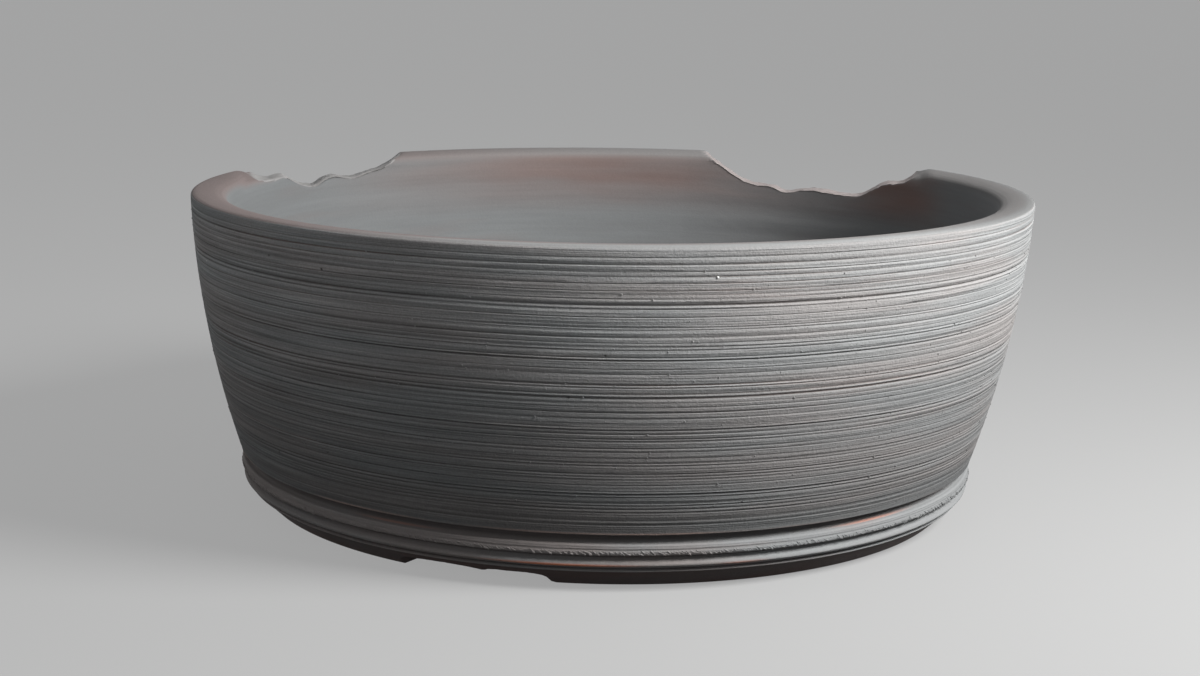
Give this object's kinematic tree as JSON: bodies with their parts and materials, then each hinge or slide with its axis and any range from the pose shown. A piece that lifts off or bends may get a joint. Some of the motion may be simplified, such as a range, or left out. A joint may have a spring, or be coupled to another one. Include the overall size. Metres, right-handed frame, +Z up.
{
  "type": "round bonsai pot",
  "caption": "Round unglazed stoneware bonsai pot: tapering combed wall with a torn rim, floor with drain and wire holes, moulded band and notched foot ring. Holds soil and a small tree.",
  "frame": {"origin": "under the middle of the pot, on the surface that the foot ring stands on", "axes": "+Z up along the pot's axis, -Y towards the pictured front, +X to the right in the picture"},
  "size_m": [0.24, 0.24, 0.0894],
  "materials": {
    "combed_stoneware": "unglazed, combed in fine turned lines, matte",
    "moulded_stoneware": "unglazed, turned and sponged, matte",
    "floor_stoneware": "unglazed, smoothed by hand, matte",
    "foot_stoneware": "unglazed, trimmed, matte"
  },
  "bodies": {
    "root": {"thrown_wall": "combed_stoneware", "foot_band": "moulded_stoneware", "corner_coil": "floor_stoneware", "floor_slab": "floor_stoneware", "foot_ring": "foot_stoneware"}
  },
  "joints": []
}
